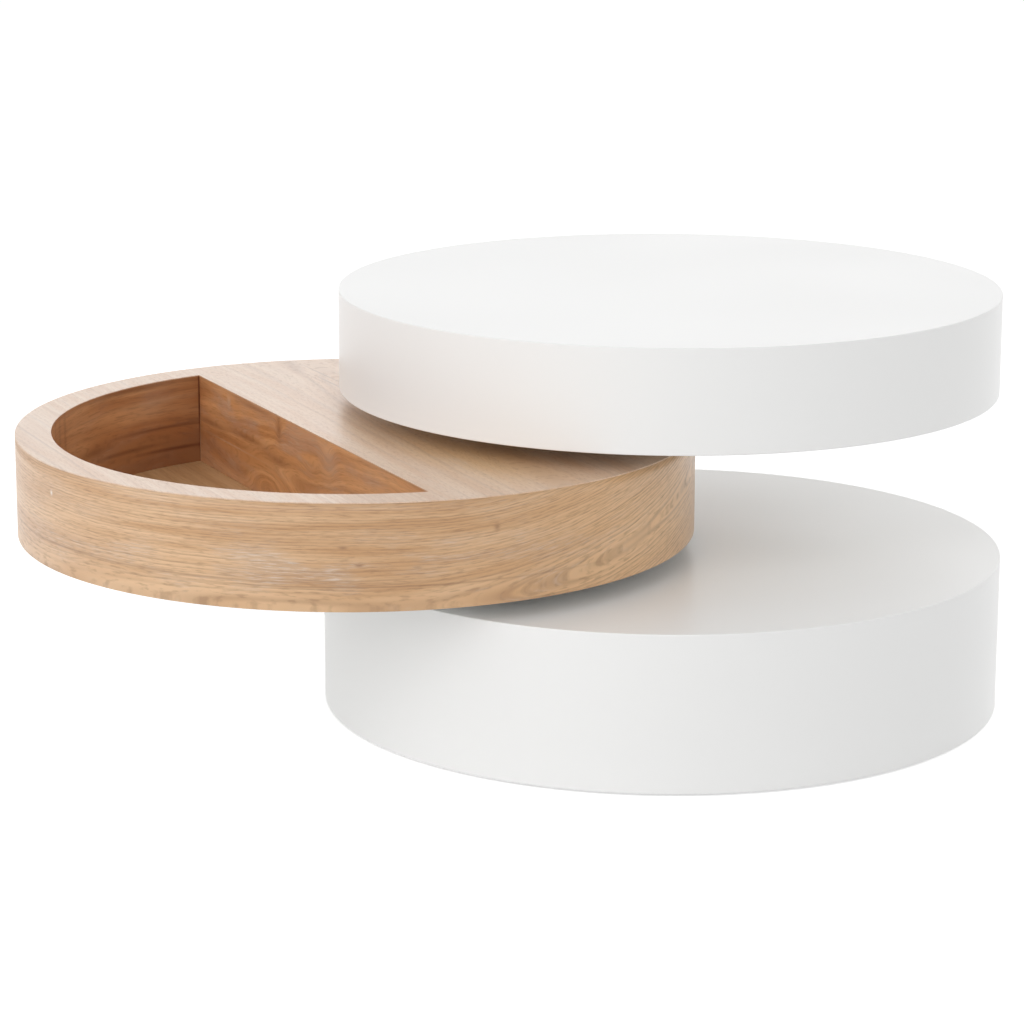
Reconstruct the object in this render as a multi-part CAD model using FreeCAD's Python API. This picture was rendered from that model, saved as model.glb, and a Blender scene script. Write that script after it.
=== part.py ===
import FreeCAD, Part

import math
import os

from FreeCAD import Vector

os.makedirs("parts", exist_ok=True)

# Swivel coffee table: three hollow drums of one diameter, hung off centre on one upright post.
# The base drum stands still. The tray drum, with an open D-shaped recess, and the tabletop drum
# each turn right round the post on a thrust roller bearing of their own.
#
# Each drum is drawn with the post at X = Y = 0 and its own centre at X = POST_OFFSET, is then
# swung about the post to its heading, and is moved to where the post stands. The origin is the
# point on the floor under the centre of the base drum, with +Z up.

# ------------------------------------------------------- driving dimensions: mm and degrees

# drums
DRUM_RADIUS = 375.0
POST_OFFSET = 186.5  # from the post to each drum's centre
BASE_HEIGHT = 169.5
TRAY_HEIGHT = 113.5
TOP_HEIGHT = 113.5

# headings: where each drum's centre lies, seen from the post
BASE_HEADING = -23.2
TRAY_HEADING = -153.3
TOP_HEADING = 18.9

# boards
WALL = 12.0  # bent plywood hoop
TOP_BOARD = 18.0  # over the base and the tabletop
BASE_FLOOR = 15.0
TOP_FLOOR = 12.0
TRAY_FLOOR = 6.5
DECK_BOARD = 15.0
RIB = 15.0
RIB_PITCH = 150.0  # between the ribs that stand clear of the hub
VENEER = 1.0
LACQUER_EDGE = 1.2  # eased edge of the lacquered drums
VENEER_EDGE = 0.6  # eased edge of the veneered drum

# recess
RIM_WIDTH = 39.4  # between the drum's outside and the recess
RECESS_WALL = 9.0
DIVIDER = 12.0
RECESS_PANEL = 3.0  # veneered panel on the tray's floor, inside the recess
PANEL_PLAY = 0.3
DIVIDER_OFFSET = 61.5  # from the tray's centre to the divider's face, away from the post
RECESS_TURN = 2.0  # the divider's turn from square to the post's line
SPACER_WIDTH = 30.0
SPACER_COUNT = 7
SPACER_ARC = 132.0  # in degrees, from the first spacer to the last

# hubs
BASE_HUB = 185.0
BASE_HUB_DEPTH = 45.0
TRAY_HUB = 140.0
TOP_HUB = 170.0

# feet
GLIDE_THICKNESS = 2.5
GLIDE_RADIUS = 16.0
GLIDE_CIRCLE = 330.0
GLIDE_COUNT = 6

# post
POST_RADIUS = 25.0
POST_WALL = 4.0
POST_PLATE_SIDE = 180.0
POST_PLATE = 8.0
GUSSET = 6.0
GUSSET_REACH = 55.0
GUSSET_HEIGHT = 60.0
BOLT_PLACE = 70.0  # each bolt, along X and along Y from the post
BOLT_RADIUS = 4.0
BOLT_HEAD_RADIUS = 8.0
BOLT_END = 2.0  # thread that stands past the nut
WASHER_RADIUS = 8.0
WASHER = 1.6
NUT_FLATS = 13.0
NUT_HEIGHT = 6.5
CAP_FLANGE = 1.5
CAP_FLANGE_RADIUS = 25.0
CAP_PLUG = 10.0
CAP_WALL = 2.5

# lower bearing, between the base and the tray
SEAT_PLATE = 2.5
SEAT_PLATE_RADIUS = 55.0
SEAT_SCREW_CIRCLE = 45.0
SEAT_SCREW_COUNT = 4
LOWER_BEARING_RADIUS = 35.0
LOWER_BEARING_HEIGHT = 14.0
LOWER_ROLLER_RADIUS = 3.0
LOWER_ROLLER_LENGTH = 7.0
LOWER_ROLLER_COUNT = 14

# tray hub
SLEEVE_WALL = 2.0
SLEEVE_FLANGE = 4.0
SLEEVE_FLANGE_RADIUS = 65.0
SLEEVE_SCREW_CIRCLE = 54.0
SLEEVE_SCREW_COUNT = 4
TRAY_BUSH_WALL = 3.0
TRAY_BUSH_LENGTH = 30.0
TRAY_BUSH_FLANGE = 2.0

# upper bearing, between the post and the tabletop
SPINDLE_RADIUS = 15.0
SPINDLE_REACH = 220.0  # below the post's end
SPINDLE_HEAD = 5.0
SPINDLE_HEAD_RADIUS = 22.0
SPINDLE_BUSH_LENGTH = 35.0
SPINDLE_BUSH_FLANGE = 3.0
UPPER_BEARING_RADIUS = 23.5
UPPER_BEARING_HEIGHT = 11.0
UPPER_ROLLER_RADIUS = 2.5
UPPER_ROLLER_LENGTH = 5.0
UPPER_ROLLER_COUNT = 12
PIVOT_PLATE = 6.5
PIVOT_PLATE_RADIUS = 80.0
PIVOT_SCREW_CIRCLE = 64.0
PIVOT_SCREW_COUNT = 4
KEEPER = 3.0
KEEPER_RADIUS = 20.0
KEEPER_BOLT_RADIUS = 6.0
KEEPER_BOLT_FLATS = 19.0
KEEPER_BOLT_HEAD = 8.0
KEEPER_BOLT_LENGTH = 30.0

# wood screws
SCREW_RADIUS = 2.25
SCREW_HEAD_RADIUS = 4.5
SCREW_LENGTH = 40.0
SHORT_SCREW_RADIUS = 1.8
SHORT_SCREW_HEAD_RADIUS = 3.8
SHORT_SCREW_LENGTH = 18.0

# clearances
RUNNING = 0.05  # on the radius, between a bush and what turns in it
ROLLER_PLAY = 0.02  # between a roller and each race
CAGE_PLAY = 0.2  # round a roller in its pocket
RACE_PLAY = 0.1  # on the radius, between a bearing and the shaft in it
LOOSE = 0.5  # on the radius, where a board or a plate goes round the post or a sleeve
KEEPER_GAP = 0.3  # the play that the keeper leaves

# ------------------------------------------------------------------------------- levels

LOWER_GAP = SEAT_PLATE + LOWER_BEARING_HEIGHT + SLEEVE_FLANGE
UPPER_GAP = SPINDLE_BUSH_FLANGE + UPPER_BEARING_HEIGHT + PIVOT_PLATE

base_low = GLIDE_THICKNESS
base_high = base_low + BASE_HEIGHT
tray_low = base_high + LOWER_GAP
tray_high = tray_low + TRAY_HEIGHT
top_low = tray_high + UPPER_GAP
top_high = top_low + TOP_HEIGHT

inner_radius = DRUM_RADIUS - WALL
sleeve_radius = POST_RADIUS + TRAY_BUSH_WALL + SLEEVE_WALL
sleeve_bore = POST_RADIUS + TRAY_BUSH_WALL
post_bore = POST_RADIUS - POST_WALL

nodes = {}


# --------------------------------------------------------------------------- plain shapes


def cylinder(radius, low, high, x=0.0, y=0.0):
    """An upright round bar between two levels."""
    return Part.makeCylinder(radius, high - low, Vector(x, y, low))


def ring(outer, inner, low, high, x=0.0):
    """An upright round bar with a round hole through it."""
    return cylinder(outer, low, high, x).cut(cylinder(inner, low, high, x))


def block(x_low, x_high, y_low, y_high, low, high):
    """A board or block square to the axes."""
    return Part.makeBox(x_high - x_low, y_high - y_low, high - low, Vector(x_low, y_low, low))


def revolved(profile, x=0.0):
    """The solid that a closed profile of (radius, level) points sweeps about an upright axis."""
    points = [Vector(radius, 0, level) for radius, level in profile]
    face = Part.Face(Part.makePolygon(points + points[:1]))
    solid = face.revolve(Vector(0, 0, 0), Vector(0, 0, 1), 360)
    solid.translate(Vector(x, 0, 0))
    return solid


def hexagon(flats, low, high, x=0.0, y=0.0):
    """A six-sided bar, measured across its flats."""
    corner = flats / 2 / math.cos(math.pi / 6)
    angles = [math.radians(60 * i) for i in range(7)]
    points = [Vector(x + corner * math.cos(a), y + corner * math.sin(a), low) for a in angles]
    return Part.Face(Part.makePolygon(points)).extrude(Vector(0, 0, high - low))


def turned(shape, degrees, x=0.0):
    """A copy of the shape, turned about an upright axis."""
    copy = shape.copy()
    copy.rotate(Vector(x, 0, 0), Vector(0, 0, 1), degrees)
    return copy


def moved(shape, x, y, z=0.0):
    """A copy of the shape, moved."""
    copy = shape.copy()
    copy.translate(Vector(x, y, z))
    return copy


def around(shape, count):
    """Copies of the shape, evenly spaced about the post."""
    return [turned(shape, 360.0 * i / count) for i in range(count)]


# -------------------------------------------------------------------- shapes of this table


def hoop(low, high, edge):
    """A drum's side wall, its lower outside edge eased."""
    profile = [
        (inner_radius, low),
        (DRUM_RADIUS - edge, low),
        (DRUM_RADIUS, low + edge),
        (DRUM_RADIUS, high),
        (inner_radius, high),
    ]
    return revolved(profile, POST_OFFSET)


def lid(low, high, edge):
    """A round board over a drum's hoop, its upper edge eased."""
    profile = [
        (0, low),
        (DRUM_RADIUS, low),
        (DRUM_RADIUS, high - edge),
        (DRUM_RADIUS - edge, high),
        (0, high),
    ]
    return revolved(profile, POST_OFFSET)


def rib_crate(space, low, high, hub, rows, columns):
    """Boards on edge round a hub, halved into each other and cut to the space they stand in.

    The first ribs lie against the hub, and the next ones follow at the rib pitch.
    """
    first = (hub + RIB) / 2
    offsets = [first + i * RIB_PITCH for i in range(rows)]
    long_places = [side * offset for side in (-1, 1) for offset in offsets]
    cross_places = [-first] + [first + i * RIB_PITCH for i in range(columns)]
    middle = (low + high) / 2
    reach = POST_OFFSET + DRUM_RADIUS

    def lengthwise(y, start, end):
        return block(-reach, reach, y - RIB / 2, y + RIB / 2, start, end)

    def crosswise(x, start, end):
        return block(x - RIB / 2, x + RIB / 2, -reach, reach, start, end)

    upper_slots = [crosswise(x, middle, high) for x in cross_places]
    lower_slots = [lengthwise(y, low, middle) for y in long_places]
    long_ribs = [lengthwise(y, low, high).common(space).cut(upper_slots) for y in long_places]
    cross_ribs = [crosswise(x, low, high).common(space).cut(lower_slots) for x in cross_places]
    return long_ribs, cross_ribs, cross_places


def countersunk(shank, head, length):
    """A countersunk screw that stands on its head at the origin."""
    profile = [(0, 0), (head, 0), (shank, head - shank), (shank, length), (0, length)]
    return revolved(profile)


def roller_bearing(bore, outer, low, height, roller_radius, roller_length, count):
    """A thrust bearing: a lower and an upper race, and a cage of rollers laid along the radii."""
    high = low + height
    middle = (low + high) / 2
    pitch = (bore + outer) / 2
    rolling = roller_radius - ROLLER_PLAY
    lower_race = ring(outer, bore + RACE_PLAY, low, middle - roller_radius)
    upper_race = ring(outer, bore + RACE_PLAY, middle + roller_radius, high)
    start = Vector(pitch - roller_length / 2, 0, middle)
    roller = Part.makeCylinder(rolling, roller_length, start, Vector(1, 0, 0))
    half_length = roller_length / 2 + CAGE_PLAY
    half_width = rolling + CAGE_PLAY
    pocket = block(pitch - half_length, pitch + half_length, -half_width, half_width, low, high)
    web = roller_radius / 2
    cage = ring(outer - RACE_PLAY, bore + RACE_PLAY, middle - web, middle + web)
    cage = cage.cut(around(pocket, count))
    return lower_race, upper_race, cage, around(roller, count)


def place(name, shapes, heading):
    """Keeps one node: its solids, swung to the drum's heading and moved to the post."""
    angle = math.radians(BASE_HEADING)
    post_x = -POST_OFFSET * math.cos(angle)
    post_y = -POST_OFFSET * math.sin(angle)
    solids = [moved(turned(shape, heading), post_x, post_y) for shape in shapes]
    nodes[name] = solids[0] if len(solids) == 1 else Part.makeCompound(solids)


# ------------------------------------------------------------------------- base drum: boards

base_floor_high = base_low + BASE_FLOOR
base_board_low = base_high - TOP_BOARD

base_room = cylinder(inner_radius, base_floor_high, base_board_low, POST_OFFSET)
base_long_ribs, base_cross_ribs, base_columns = rib_crate(
    base_room, base_floor_high, base_board_low, BASE_HUB, 2, 3
)

# wood screws up through the floor into the ribs beside the hub, midway between the cross ribs
floor_screw = countersunk(SCREW_RADIUS, SCREW_HEAD_RADIUS, SCREW_LENGTH)
bays = [(a + b) / 2 for a, b in zip(base_columns, base_columns[1:])]
hub_rows = [side * (BASE_HUB + RIB) / 2 for side in (-1, 1)]
floor_screws = [moved(floor_screw, x, y, base_low) for x in bays for y in hub_rows]
base_long_ribs = [rib.cut(floor_screws) for rib in base_long_ribs]

# bolts up through the floor and the post's plate
bolt_length = BASE_FLOOR + POST_PLATE + WASHER + NUT_HEIGHT + BOLT_END
bolt = moved(countersunk(BOLT_RADIUS, BOLT_HEAD_RADIUS, bolt_length), 0, 0, base_low)
corners = [(x, y) for x in (-BOLT_PLACE, BOLT_PLACE) for y in (-BOLT_PLACE, BOLT_PLACE)]
post_bolts = [moved(bolt, x, y) for x, y in corners]

base_floor = cylinder(inner_radius, base_low, base_floor_high, POST_OFFSET)
base_floor = base_floor.cut(floor_screws + post_bolts)
base_floor = base_floor.cut(cylinder(post_bore, base_low, base_floor_high))

seat_screw = countersunk(SHORT_SCREW_RADIUS, SHORT_SCREW_HEAD_RADIUS, SHORT_SCREW_LENGTH)
seat_screw.rotate(Vector(0, 0, 0), Vector(1, 0, 0), 180)
seat_screw = moved(seat_screw, SEAT_SCREW_CIRCLE, 0, base_high + SEAT_PLATE)
seat_screws = [turned(screw, 45) for screw in around(seat_screw, SEAT_SCREW_COUNT)]

base_board = lid(base_board_low, base_high, LACQUER_EDGE)
base_board = base_board.cut(cylinder(POST_RADIUS + LOOSE, base_board_low, base_high))
base_board = base_board.cut(seat_screws)

half_hub = BASE_HUB / 2
base_hub = block(
    -half_hub, half_hub, -half_hub, half_hub, base_board_low - BASE_HUB_DEPTH, base_board_low
)
base_hub = base_hub.cut(cylinder(POST_RADIUS, base_low, base_high))

glide = cylinder(GLIDE_RADIUS, 0, GLIDE_THICKNESS, POST_OFFSET)
glides = [
    turned(moved(glide, GLIDE_CIRCLE, 0), 360.0 * i / GLIDE_COUNT, POST_OFFSET)
    for i in range(GLIDE_COUNT)
]

place("base_side_wall", [hoop(base_low, base_board_low, LACQUER_EDGE)], BASE_HEADING)
place("base_top_board", [base_board], BASE_HEADING)
place("base_floor_board", [base_floor], BASE_HEADING)
place("base_long_ribs", base_long_ribs, BASE_HEADING)
place("base_cross_ribs", base_cross_ribs, BASE_HEADING)
place("base_hub_block", [base_hub], BASE_HEADING)
place("base_floor_screws", floor_screws, BASE_HEADING)
place("base_glides", [glide] + glides, BASE_HEADING)

# ------------------------------------------------------------------------ base drum: the post

plate_high = base_floor_high + POST_PLATE
half_plate = POST_PLATE_SIDE / 2
post = block(-half_plate, half_plate, -half_plate, half_plate, base_floor_high, plate_high)
post = post.fuse(cylinder(POST_RADIUS, base_floor_high, tray_high))
gusset_points = [
    Vector(0, -GUSSET / 2, plate_high),
    Vector(POST_RADIUS + GUSSET_REACH, -GUSSET / 2, plate_high),
    Vector(POST_RADIUS, -GUSSET / 2, plate_high + GUSSET_HEIGHT),
    Vector(0, -GUSSET / 2, plate_high + GUSSET_HEIGHT),
]
gusset_face = Part.Face(Part.makePolygon(gusset_points + gusset_points[:1]))
gusset = gusset_face.extrude(Vector(0, GUSSET, 0))
post = post.fuse(around(gusset, 4))
post = post.cut([cylinder(post_bore, base_low, tray_high)] + post_bolts)

washer = ring(WASHER_RADIUS, BOLT_RADIUS, plate_high, plate_high + WASHER)
nut_low = plate_high + WASHER
nut = hexagon(NUT_FLATS, nut_low, nut_low + NUT_HEIGHT)
nut = nut.cut(cylinder(BOLT_RADIUS, nut_low, nut_low + NUT_HEIGHT))

cap_profile = [
    (0, base_low - CAP_FLANGE),
    (CAP_FLANGE_RADIUS, base_low - CAP_FLANGE),
    (CAP_FLANGE_RADIUS, base_low),
    (post_bore, base_low),
    (post_bore, base_low + CAP_PLUG),
    (post_bore - CAP_WALL, base_low + CAP_PLUG),
    (post_bore - CAP_WALL, base_low),
    (0, base_low),
]

seat_plate = ring(SEAT_PLATE_RADIUS, POST_RADIUS + LOOSE, base_high, base_high + SEAT_PLATE)
seat_plate = seat_plate.cut(seat_screws)

lower_race, tray_race, lower_cage, lower_rollers = roller_bearing(
    POST_RADIUS,
    LOWER_BEARING_RADIUS,
    base_high + SEAT_PLATE,
    LOWER_BEARING_HEIGHT,
    LOWER_ROLLER_RADIUS,
    LOWER_ROLLER_LENGTH,
    LOWER_ROLLER_COUNT,
)

# the spindle's bushes, pressed into the post: one under its end, one at the spindle's foot
spindle_low = tray_high - SPINDLE_REACH
spindle_bore = SPINDLE_RADIUS + RUNNING
upper_bush_profile = [
    (spindle_bore, tray_high - SPINDLE_BUSH_LENGTH),
    (post_bore, tray_high - SPINDLE_BUSH_LENGTH),
    (post_bore, tray_high),
    (POST_RADIUS, tray_high),
    (POST_RADIUS, tray_high + SPINDLE_BUSH_FLANGE),
    (spindle_bore, tray_high + SPINDLE_BUSH_FLANGE),
]
lower_bush_low = spindle_low + KEEPER_GAP
lower_bush_high = lower_bush_low + SPINDLE_BUSH_LENGTH

post_race, top_race, upper_cage, upper_rollers = roller_bearing(
    SPINDLE_RADIUS,
    UPPER_BEARING_RADIUS,
    tray_high + SPINDLE_BUSH_FLANGE,
    UPPER_BEARING_HEIGHT,
    UPPER_ROLLER_RADIUS,
    UPPER_ROLLER_LENGTH,
    UPPER_ROLLER_COUNT,
)

place("swivel_post", [post], BASE_HEADING)
place("post_bolts", post_bolts, BASE_HEADING)
place("post_washers", [moved(washer, x, y) for x, y in corners], BASE_HEADING)
place("post_nuts", [moved(nut, x, y) for x, y in corners], BASE_HEADING)
place("post_access_cap", [revolved(cap_profile)], BASE_HEADING)
place("bearing_seat_plate", [seat_plate], BASE_HEADING)
place("seat_plate_screws", seat_screws, BASE_HEADING)
place("lower_bearing_base_race", [lower_race], BASE_HEADING)
place("lower_bearing_cage", [lower_cage], BASE_HEADING)
place("lower_bearing_rollers", lower_rollers, BASE_HEADING)
place("spindle_upper_bush", [revolved(upper_bush_profile)], BASE_HEADING)
place(
    "spindle_lower_bush",
    [ring(post_bore, spindle_bore, lower_bush_low, lower_bush_high)],
    BASE_HEADING,
)
place("upper_bearing_post_race", [post_race], BASE_HEADING)
place("upper_bearing_cage", [upper_cage], BASE_HEADING)
place("upper_bearing_rollers", upper_rollers, BASE_HEADING)

# ------------------------------------------------------------------------- tray drum: recess

tray_floor_high = tray_low + TRAY_FLOOR
veneer_low = tray_high - VENEER
deck_low = veneer_low - DECK_BOARD
recess_radius = DRUM_RADIUS - RIM_WIDTH
recess_outside = recess_radius + RECESS_WALL
divider_face = POST_OFFSET + DIVIDER_OFFSET
reach = 2 * DRUM_RADIUS


def recess_side(shape, play=0.0):
    """What is left of a shape on the recess's side of the divider."""
    start = divider_face + play
    side = block(start, start + reach, -reach, reach, tray_low, tray_high)
    return turned(shape.common(side), RECESS_TURN, POST_OFFSET)


def deck_side(shape):
    """What is left of a shape on the post's side of the divider."""
    back = divider_face - DIVIDER
    side = block(back - 2 * reach, back, -reach, reach, tray_low, tray_high)
    return shape.common(turned(side, RECESS_TURN, POST_OFFSET))


recess = recess_side(cylinder(recess_radius, tray_floor_high, tray_high, POST_OFFSET))
recess_wall = ring(recess_outside, recess_radius, tray_floor_high, veneer_low, POST_OFFSET)
rim_board = ring(inner_radius, recess_outside, deck_low, veneer_low, POST_OFFSET)
panel_high = tray_floor_high + RECESS_PANEL
recess_panel = cylinder(recess_radius - PANEL_PLAY, tray_floor_high, panel_high, POST_OFFSET)

divider = block(
    divider_face - DIVIDER, divider_face, -reach, reach, tray_floor_high, veneer_low
)
divider = divider.common(cylinder(inner_radius, tray_floor_high, veneer_low, POST_OFFSET))

# spacers between the hoop and the recess's wall
spacer_ring = ring(inner_radius, recess_outside, tray_floor_high, deck_low, POST_OFFSET)
spacer = spacer_ring.common(
    block(
        POST_OFFSET + recess_radius / 2,
        POST_OFFSET + DRUM_RADIUS,
        -SPACER_WIDTH / 2,
        SPACER_WIDTH / 2,
        tray_floor_high,
        deck_low,
    )
)
spacer_step = SPACER_ARC / (SPACER_COUNT - 1)
spacers = [
    turned(spacer, RECESS_TURN - SPACER_ARC / 2 + spacer_step * i, POST_OFFSET)
    for i in range(SPACER_COUNT)
]

# -------------------------------------------------------------------------- tray drum: deck

sleeve_hole = cylinder(sleeve_radius + LOOSE, tray_low, tray_high)

tray_room = deck_side(cylinder(inner_radius, tray_floor_high, deck_low, POST_OFFSET))
tray_long_ribs, tray_cross_ribs, _ = rib_crate(
    tray_room, tray_floor_high, deck_low, TRAY_HUB, 2, 2
)

sleeve_screw = countersunk(SCREW_RADIUS, SCREW_HEAD_RADIUS, SCREW_LENGTH)
sleeve_screw = moved(sleeve_screw, SLEEVE_SCREW_CIRCLE, 0, tray_low - SLEEVE_FLANGE)
sleeve_screws = around(sleeve_screw, SLEEVE_SCREW_COUNT)

tray_floor = cylinder(inner_radius, tray_low, tray_floor_high, POST_OFFSET)
tray_floor = tray_floor.cut([sleeve_hole] + sleeve_screws)

half_hub = TRAY_HUB / 2
tray_hub = block(-half_hub, half_hub, -half_hub, half_hub, tray_floor_high, deck_low)
tray_hub = tray_hub.cut([cylinder(sleeve_radius, tray_low, tray_high)] + sleeve_screws)

deck_board = deck_side(cylinder(inner_radius, deck_low, veneer_low, POST_OFFSET))
deck_board = deck_board.cut(sleeve_hole)

veneer = lid(veneer_low, tray_high, VENEER_EDGE).cut([recess, sleeve_hole])

place("tray_side_wall", [hoop(tray_low, veneer_low, VENEER_EDGE)], TRAY_HEADING)
place("tray_top_veneer", [veneer], TRAY_HEADING)
place("tray_deck_board", [deck_board], TRAY_HEADING)
place("tray_rim_board", [recess_side(rim_board)], TRAY_HEADING)
place("tray_recess_wall", [recess_side(recess_wall)], TRAY_HEADING)
place("tray_divider", [turned(divider, RECESS_TURN, POST_OFFSET)], TRAY_HEADING)
place("recess_floor_panel", [recess_side(recess_panel, PANEL_PLAY)], TRAY_HEADING)
place("tray_rim_spacers", spacers, TRAY_HEADING)
place("tray_floor_board", [tray_floor], TRAY_HEADING)
place("tray_long_ribs", tray_long_ribs, TRAY_HEADING)
place("tray_cross_ribs", tray_cross_ribs, TRAY_HEADING)
place("tray_hub_block", [tray_hub], TRAY_HEADING)

# --------------------------------------------------------------------------- tray drum: hub

sleeve_high = tray_high - TRAY_BUSH_FLANGE
flange_low = tray_low - SLEEVE_FLANGE
sleeve_profile = [
    (sleeve_bore, flange_low),
    (SLEEVE_FLANGE_RADIUS, flange_low),
    (SLEEVE_FLANGE_RADIUS, tray_low),
    (sleeve_radius, tray_low),
    (sleeve_radius, sleeve_high),
    (sleeve_bore, sleeve_high),
]
sleeve = revolved(sleeve_profile).cut(sleeve_screws)

bush_bore = POST_RADIUS + RUNNING
lower_tray_bush = ring(sleeve_bore, bush_bore, flange_low, flange_low + TRAY_BUSH_LENGTH)
tray_bush_profile = [
    (bush_bore, sleeve_high - TRAY_BUSH_LENGTH),
    (sleeve_bore, sleeve_high - TRAY_BUSH_LENGTH),
    (sleeve_bore, sleeve_high),
    (sleeve_radius, sleeve_high),
    (sleeve_radius, tray_high),
    (bush_bore, tray_high),
]

place("tray_hub_sleeve", [sleeve], TRAY_HEADING)
place("tray_sleeve_screws", sleeve_screws, TRAY_HEADING)
place("tray_lower_bush", [lower_tray_bush], TRAY_HEADING)
place("tray_upper_bush", [revolved(tray_bush_profile)], TRAY_HEADING)
place("lower_bearing_tray_race", [tray_race], TRAY_HEADING)

# ----------------------------------------------------------------------------- tabletop drum

top_floor_high = top_low + TOP_FLOOR
top_board_low = top_high - TOP_BOARD

top_room = cylinder(inner_radius, top_floor_high, top_board_low, POST_OFFSET)
top_long_ribs, top_cross_ribs, _ = rib_crate(
    top_room, top_floor_high, top_board_low, TOP_HUB, 2, 3
)

plate_low = top_low - PIVOT_PLATE
pivot_screw = countersunk(SCREW_RADIUS, SCREW_HEAD_RADIUS, SCREW_LENGTH)
pivot_screw = moved(pivot_screw, PIVOT_SCREW_CIRCLE, 0, plate_low)
pivot_screws = around(pivot_screw, PIVOT_SCREW_COUNT)

head_hole = cylinder(SPINDLE_HEAD_RADIUS + LOOSE, top_low, top_floor_high)
top_floor = cylinder(inner_radius, top_low, top_floor_high, POST_OFFSET)
top_floor = top_floor.cut([head_hole] + pivot_screws)

half_hub = TOP_HUB / 2
top_hub = block(-half_hub, half_hub, -half_hub, half_hub, top_floor_high, top_board_low)
top_hub = top_hub.cut(pivot_screws)

pivot_plate = ring(PIVOT_PLATE_RADIUS, SPINDLE_RADIUS, plate_low, top_low)
pivot_plate = pivot_plate.cut(pivot_screws)

# the spindle hangs in the plate by its head, and the keeper bolt screws up into its foot
spindle_profile = [
    (0, spindle_low),
    (SPINDLE_RADIUS, spindle_low),
    (SPINDLE_RADIUS, top_low),
    (SPINDLE_HEAD_RADIUS, top_low),
    (SPINDLE_HEAD_RADIUS, top_low + SPINDLE_HEAD),
    (0, top_low + SPINDLE_HEAD),
]
spindle = revolved(spindle_profile)
keeper_low = spindle_low - KEEPER
keeper_shank = cylinder(KEEPER_BOLT_RADIUS, keeper_low, keeper_low + KEEPER_BOLT_LENGTH)
spindle = spindle.cut(keeper_shank)
keeper = ring(KEEPER_RADIUS, KEEPER_BOLT_RADIUS, keeper_low, spindle_low)
keeper_bolt = hexagon(KEEPER_BOLT_FLATS, keeper_low - KEEPER_BOLT_HEAD, keeper_low)
keeper_bolt = keeper_bolt.fuse(keeper_shank)

place("top_side_wall", [hoop(top_low, top_board_low, LACQUER_EDGE)], TOP_HEADING)
place("top_board", [lid(top_board_low, top_high, LACQUER_EDGE)], TOP_HEADING)
place("top_floor_board", [top_floor], TOP_HEADING)
place("top_long_ribs", top_long_ribs, TOP_HEADING)
place("top_cross_ribs", top_cross_ribs, TOP_HEADING)
place("top_hub_block", [top_hub], TOP_HEADING)
place("pivot_plate", [pivot_plate], TOP_HEADING)
place("pivot_plate_screws", pivot_screws, TOP_HEADING)
place("pivot_spindle", [spindle], TOP_HEADING)
place("spindle_keeper", [keeper], TOP_HEADING)
place("spindle_keeper_bolt", [keeper_bolt], TOP_HEADING)
place("upper_bearing_top_race", [top_race], TOP_HEADING)

# -------------------------------------------------------------------------------- STEP files

for name, shape in nodes.items():
    shape.exportStep("parts/" + name + ".step")

print(len(nodes), "nodes, height", round(top_high, 2), "mm")
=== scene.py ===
# Swivel coffee table: three hollow drums of one diameter, hung off centre on one upright post.
# The white lacquered base stands still. The oak veneered tray, with its open D-shaped recess,
# and the white lacquered tabletop each turn right round the post. Everything is in metres.

import math

import bpy
import numpy as np
from mathutils import Matrix, Vector


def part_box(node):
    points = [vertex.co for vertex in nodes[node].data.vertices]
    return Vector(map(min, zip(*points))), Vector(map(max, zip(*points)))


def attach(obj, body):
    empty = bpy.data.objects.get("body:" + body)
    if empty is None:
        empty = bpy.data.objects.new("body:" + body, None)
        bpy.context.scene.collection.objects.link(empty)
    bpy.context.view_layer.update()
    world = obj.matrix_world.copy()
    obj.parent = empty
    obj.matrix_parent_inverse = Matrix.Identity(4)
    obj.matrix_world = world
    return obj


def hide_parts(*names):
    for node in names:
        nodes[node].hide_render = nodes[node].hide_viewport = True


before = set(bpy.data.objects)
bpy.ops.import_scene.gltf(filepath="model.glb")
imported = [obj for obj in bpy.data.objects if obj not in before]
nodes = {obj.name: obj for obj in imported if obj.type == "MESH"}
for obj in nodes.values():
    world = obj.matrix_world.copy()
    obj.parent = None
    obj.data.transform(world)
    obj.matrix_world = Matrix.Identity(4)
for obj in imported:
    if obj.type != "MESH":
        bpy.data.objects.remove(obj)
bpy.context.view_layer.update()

# ------------------------------------------------------------------------------------- camera
# A long lens, 3.7 m off and 1.1 m above the floor, looking down a little on the table.

CAMERA_PLACE = Vector((0.027975, -3.71381, 1.11175))
CAMERA_YAW = -0.0522
CAMERA_PITCH = 0.2387
CAMERA_ROLL = 0.0024
SENSOR_WIDTH = 36.0
LENS = 120.74

forward = Vector(
    (
        math.sin(CAMERA_YAW) * math.cos(CAMERA_PITCH),
        math.cos(CAMERA_YAW) * math.cos(CAMERA_PITCH),
        -math.sin(CAMERA_PITCH),
    )
)
level_right = Vector((math.cos(CAMERA_YAW), -math.sin(CAMERA_YAW), 0.0))
level_up = level_right.cross(forward)
cam_right = level_right * math.cos(CAMERA_ROLL) + level_up * math.sin(CAMERA_ROLL)
cam_up = level_up * math.cos(CAMERA_ROLL) - level_right * math.sin(CAMERA_ROLL)

camera = bpy.data.objects.new("camera", bpy.data.cameras.new("camera"))
camera.data.sensor_width = SENSOR_WIDTH
camera.data.lens = LENS
turn = Matrix((cam_right, cam_up, -forward)).transposed()
camera.matrix_world = Matrix.Translation(CAMERA_PLACE) @ turn.to_4x4()
bpy.context.scene.collection.objects.link(camera)
bpy.context.scene.camera = camera

# ------------------------------------------------------------------- base drum: floor and feet
# The base stands on seven discs of pressed wool felt, stuck under a board faced with white
# melamine. Countersunk zinc plated screws hold the board to the ribs.


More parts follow.
